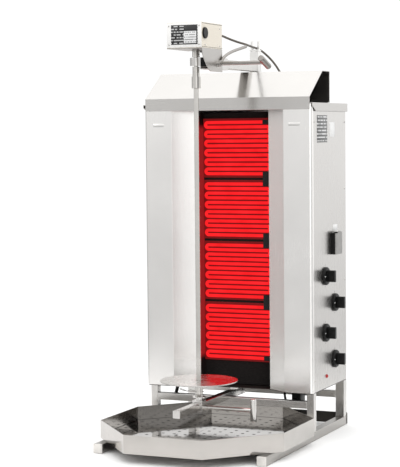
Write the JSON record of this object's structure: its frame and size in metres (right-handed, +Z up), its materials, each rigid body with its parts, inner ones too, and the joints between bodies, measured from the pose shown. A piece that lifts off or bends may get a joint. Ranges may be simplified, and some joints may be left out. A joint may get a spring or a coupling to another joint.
{
  "type": "rotisserie oven",
  "caption": "Upright electric gyros grill: heater cabinet with red heater tubes behind a motor-driven vertical spit, sliding carriage, hood, side knobs and octagonal drip tray.",
  "frame": {"origin": "on the floor under the middle of the machine's bounding box; the spit axis is at X 0, Y -0.133", "axes": "+Z up, -Y towards the operator and the spit, +X to the side with the knobs"},
  "size_m": [0.5398, 0.7301, 1.1233],
  "materials": {
    "stainless": "fine brushed stainless sheet, seen nearly white in studio light",
    "bright_steel": "polished stainless",
    "heater_glow": "red hot heater tube, glowing",
    "burnt_steel": "dark heat-stained steel",
    "black_ceramic": "dark ceramic",
    "board": "mineral insulation board",
    "black_plastic": "matt black phenolic",
    "grey_plastic": "satin grey plastic",
    "motor_case": "pale satin enamel",
    "gearbox": "as cast",
    "cord_grey": "satin grey cord sheath",
    "cap_plastic": "pale plastic end cap"
  },
  "bodies": {
    "frame": {"skid_left": "stainless", "skid_right": "stainless", "skid_caps": "cap_plastic", "front_legs": "stainless", "rear_legs": "stainless", "crossbars": "stainless", "rear_base_plate": "stainless", "front_wing_left": "stainless", "front_wing_right": "stainless", "base_pan": "stainless", "side_panel_left": "stainless", "side_panel_right": "stainless", "rear_cover": "stainless", "roof_cap": "stainless", "hood": "stainless", "heater_casing": "burnt_steel", "insulation_board": "board", "heater_1": "heater_glow", "heater_2": "heater_glow", "heater_3": "heater_glow", "heater_4": "heater_glow", "reflectors": "burnt_steel", "heater_terminals": "black_ceramic", "regulators": "black_plastic", "switch_housing": "black_plastic", "switch_frame": "black_plastic", "post": "stainless", "cord_fork": "stainless", "upper_arm": "stainless", "arm_caps": "cap_plastic", "lower_arm": "bright_steel", "roof_gland": "black_plastic", "motor_cord": "cord_grey"},
    "carriage": {"carriage_bracket": "stainless", "carriage_sleeve": "stainless", "steady_collar": "stainless", "clamp_block": "black_plastic", "motor_housing": "motor_case", "gear_motor": "gearbox", "motor_gland": "black_plastic", "cord_support": "bright_steel"},
    "upper_screw": {"upper_clamp_screw": "bright_steel"},
    "motor_dial": {"motor_knob": "black_plastic"},
    "spit": {"spit_bar": "bright_steel", "spit_head": "bright_steel", "drive_coupling": "bright_steel", "meat_disc": "bright_steel", "disc_hub": "bright_steel"},
    "foot": {"foot_clamp": "bright_steel", "foot_cup": "black_plastic"},
    "lower_screw": {"lower_clamp_screw": "bright_steel"},
    "dial_1": {"knob_1": "black_plastic"},
    "dial_2": {"knob_2": "black_plastic"},
    "dial_3": {"knob_3": "black_plastic"},
    "dial_4": {"knob_4": "black_plastic"},
    "lid": {"switch_lid": "grey_plastic"},
    "rocker": {"switch_rocker": "black_plastic"},
    "tray": {"drip_tray": "stainless"},
    "plate_left": {"drain_plate_left": "bright_steel"},
    "plate_right": {"drain_plate_right": "bright_steel"}
  },
  "joints": [
    {"name": "carriage_slide", "type": "slide", "parent": "frame", "child": "carriage", "axis": [0, 1, 0], "range_m": [-0.03, 0.06], "deforming": ["motor_cord"]},
    {"name": "foot_slide", "type": "slide", "parent": "frame", "child": "foot", "axis": [0, 1, 0], "range_m": [-0.03, 0.06]},
    {"name": "spit_spin", "type": "hinge", "parent": "carriage", "child": "spit", "pos_m": [0, -0.133, 0.5], "axis": [0, 0, 1], "continuous": true},
    {"name": "upper_screw_turn", "type": "hinge", "parent": "carriage", "child": "upper_screw", "pos_m": [0.1, -0.13, 1.021], "axis": [1, 0, 0], "range_deg": [-90, 270]},
    {"name": "lower_screw_turn", "type": "hinge", "parent": "foot", "child": "lower_screw", "pos_m": [0.1, -0.133, 0.115], "axis": [1, 0, 0], "range_deg": [-90, 270]},
    {"name": "motor_dial_turn", "type": "hinge", "parent": "carriage", "child": "motor_dial", "pos_m": [0.07, -0.218, 1.096], "axis": [1, 0, 0], "range_deg": [0, 90]},
    {"name": "dial_1_turn", "type": "hinge", "parent": "frame", "child": "dial_1", "pos_m": [0.25, 0.177, 0.444], "axis": [1, 0, 0], "range_deg": [0, 270]},
    {"name": "dial_2_turn", "type": "hinge", "parent": "frame", "child": "dial_2", "pos_m": [0.25, 0.256, 0.364], "axis": [1, 0, 0], "range_deg": [0, 270]},
    {"name": "dial_3_turn", "type": "hinge", "parent": "frame", "child": "dial_3", "pos_m": [0.25, 0.178, 0.287], "axis": [1, 0, 0], "range_deg": [0, 270]},
    {"name": "dial_4_turn", "type": "hinge", "parent": "frame", "child": "dial_4", "pos_m": [0.25, 0.255, 0.205], "axis": [1, 0, 0], "range_deg": [0, 270]},
    {"name": "lid_swing", "type": "hinge", "parent": "frame", "child": "lid", "pos_m": [0.2605, 0.253, 0.561], "axis": [0, -1, 0], "range_deg": [0, 100]},
    {"name": "rocker_tilt", "type": "hinge", "parent": "frame", "child": "rocker", "pos_m": [0.246, 0.253, 0.53], "axis": [0, 1, 0], "range_deg": [-8, 8]},
    {"name": "tray_slide", "type": "slide", "parent": "frame", "child": "tray", "axis": [0, -1, 0], "range_m": [0, 0.16]},
    {"name": "plate_left_lift", "type": "slide", "parent": "tray", "child": "plate_left", "axis": [0, 0, 1], "range_m": [0, 0.03]},
    {"name": "plate_right_lift", "type": "slide", "parent": "tray", "child": "plate_right", "axis": [0, 0, 1], "range_m": [0, 0.03]}
  ],
  "couplings": [
    {"joint": "foot_slide", "follows": "carriage_slide", "ratio": 1}
  ]
}
